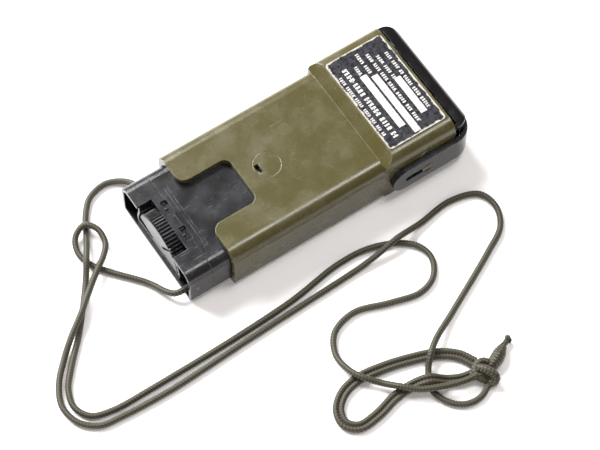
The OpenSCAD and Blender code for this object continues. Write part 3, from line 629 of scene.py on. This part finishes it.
class STROBE_OT_black_parts(bpy.types.Operator):
    """Housing, battery cap, knob and filter frame in scuffed black nylon"""

    bl_idname = "strobe.black_parts"
    bl_label = "Black parts"

    def execute(self, context):
        sizes, colours = sizes_and_colours(context)
        # the black parts' wear colour also gives them a painted highlight along the edges
        paint(["housing", "end_cap", "filter_frame"], moulded_plastic(
            "Nylon, moulded black", colours.black, colours.black_wear_and_highlight, 0.2, 0.7, 0.8,
            sizes.edge_radius))
        paint(["switch_knob"], moulded_plastic(
            "Nylon, moulded black knob", colours.black, colours.black_wear_and_highlight, 0.25, 0.3, 0.8,
            0.12 * MM))
        return {"FINISHED"}


class STROBE_OT_sleeve(bpy.types.Operator):
    """Guard sleeve and pivot pins in scratched olive nylon, with the blue liner"""

    bl_idname = "strobe.sleeve"
    bl_label = "Guard sleeve"

    def execute(self, context):
        sizes, colours = sizes_and_colours(context)
        paint(["sleeve_upper", "sleeve_lower", "pivot_pin_left", "pivot_pin_right"], moulded_plastic(
            "Nylon, moulded olive", colours.olive, colours.olive_wear_and_highlight, 0.24, 0.8, 0.8,
            sizes.edge_radius))
        paint(["blue_filter"], clear_plastic("Polycarbonate, dyed blue", linear("#1c3f9c"), 0.7, 0.1))
        return {"FINISHED"}


class STROBE_OT_filter(bpy.types.Operator):
    """Dark filter and the clear lens behind it"""

    bl_idname = "strobe.filter"
    bl_label = "Dark filter"

    def execute(self, context):
        paint(["infrared_filter"], polished_filter("Acrylic, cast dark", linear("#09080b"), 0.14))
        paint(["clear_lens"], clear_plastic("Polycarbonate, clear", linear("#eef4f6"), 0.95, 0.03))
        return {"FINISHED"}


class STROBE_OT_label(bpy.types.Operator):
    """Foil label with generic print: broken dashes in place of words, and blank white boxes"""

    bl_idname = "strobe.label"
    bl_label = "Label"

    def execute(self, context):
        _, colours = sizes_and_colours(context)
        paint(["label_plate"], foil_label("Aluminium foil, printed dark", colours.label))
        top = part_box("label_plate")[1].z + 0.03 * MM
        draw = random.Random(7)
        bm = bmesh.new()
        # each line: start and end along X, middle along Y, height of the strokes
        lines = (
            (-13.0, -3.0, 46.2, 1.25), (-1.5, 13.6, 46.2, 1.25), (-13.5, -3.2, 42.9, 1.25),
            (-15.9, 17.1, 40.2, 1.25), (-17.9, -7.8, 37.0, 1.25), (-13.8, -9.9, 33.8, 1.25),
            (-15.0, 17.0, 29.9, 1.9), (-12.9, 14.3, 26.9, 1.15),
        )
        for start, end, middle, tall in lines:
            x = start
            while x < end - 0.4:
                # one word of strokes, then a gap
                word = x + draw.uniform(2.6, 5.4) * tall / 1.25
                while x < min(word, end):
                    wide = draw.uniform(0.42, 0.72) * tall / 1.25
                    self.block(bm, x, middle + draw.uniform(-0.05, 0.05), wide, tall, top)
                    if draw.random() < 0.6:
                        self.block(bm, x + wide * 0.6, middle + draw.choice((-0.36, 0, 0.36)) * tall,
                                   wide * 0.9, tall * 0.26, top)
                    x += wide + 0.42 * tall / 1.25
                x += 0.75
        boxes = ((-2.4, 14.2, 43.7, 2.5), (-7.4, 19.3, 37.5, 2.5), (-9.4, 14.8, 34.1, 2.6))
        for start, end, middle, tall in boxes:
            self.block(bm, start, middle, end - start, tall, top)
        finished = finish_piece(bm, "label_print", printed_ink("Ink, screen-printed white"), "sleeve",
                                smooth=False)
        return {"FINISHED"}

    def block(self, bm, x, y, wide, tall, top):
        """A flat stroke whose left end is at x and whose middle is at y, in millimetres."""
        made = bmesh.ops.create_grid(bm, x_segments=1, y_segments=1, size=0.5)["verts"]
        bmesh.ops.scale(bm, vec=(wide * MM, tall * MM, 1), verts=made)
        bmesh.ops.translate(bm, vec=((x + wide / 2) * MM, y * MM, top), verts=made)


class STROBE_OT_inner_parts(bpy.types.Operator):
    """Cells, contacts, electronics, lamp and seals inside"""

    bl_idname = "strobe.inner_parts"
    bl_label = "Inner parts"

    def execute(self, context):
        paint(["cell_springs", "knob_clip", "switch_magnet", "board_screws", "tube_end_caps",
               "detent_spring", "filter_screws"],
              worked_metal("Steel, drawn and plated", linear("#c2c2be"), 0.25))
        paint(["cell_contacts", "detent_rivets"],
              worked_metal("Brass, stamped", linear("#b7974f"), 0.3))
        paint(["reflector"], worked_metal("Aluminium, polished", linear("#dcdce0"), 0.08))
        paint(["cap_gasket", "lens_gasket"],
              plain_plastic("Silicone rubber, moulded", linear("#2c2c2e"), 0.6, 0.1))
        paint(["cell_left", "cell_right", "flash_capacitor"],
              plain_plastic("PVC, shrunk sleeve", linear("#a8672f"), 0.3, 0.1))
        paint(["contact_bulkhead", "timer_chip", "driver_transistor", "trigger_coil",
               "inverter_transformer"],
              plain_plastic("Epoxy, moulded", linear("#2a2826"), 0.5, 0.15))
        paint(["circuit_board"], plain_plastic(
            "Glass laminate, green mask", linear("#1f5a34"), 0.35, 0.12))
        paint(["flash_tube", "reed_switch"],
              clear_plastic("Glass, drawn tube", linear("#e6efee"), 0.9, 0.02))
        return {"FINISHED"}


class STROBE_PT_panel(bpy.types.Panel):
    """Lists the pieces and the values that they are made from"""

    bl_idname = "STROBE_PT_panel"
    bl_label = "Distress strobe light"
    bl_space_type = "VIEW_3D"
    bl_region_type = "UI"
    bl_category = "Strobe"

    def draw(self, context):
        for operator in OPERATORS:
            self.layout.operator(operator.bl_idname)
        for group in sizes_and_colours(context):
            box = self.layout.box()
            for name in group.__annotations__:
                box.prop(group, name)


OPERATORS = (STROBE_OT_stage, STROBE_OT_lanyard, STROBE_OT_black_parts, STROBE_OT_sleeve,
             STROBE_OT_filter, STROBE_OT_label, STROBE_OT_inner_parts)
CLASSES = (StrobeSizes, StrobeColours) + OPERATORS + (STROBE_PT_panel,)


def register():
    for item in CLASSES:
        bpy.utils.register_class(item)
    bpy.types.Scene.strobe_sizes = bpy.props.PointerProperty(type=StrobeSizes)
    bpy.types.Scene.strobe_colours = bpy.props.PointerProperty(type=StrobeColours)


def unregister():
    del bpy.types.Scene.strobe_colours
    del bpy.types.Scene.strobe_sizes
    for item in reversed(CLASSES):
        bpy.utils.unregister_class(item)


def main():
    register()
    bpy.ops.strobe.stage()
    bpy.ops.strobe.lanyard()
    bpy.ops.strobe.black_parts()
    bpy.ops.strobe.sleeve()
    bpy.ops.strobe.filter()
    bpy.ops.strobe.label()
    bpy.ops.strobe.inner_parts()


if __name__ == "__main__":
    main()
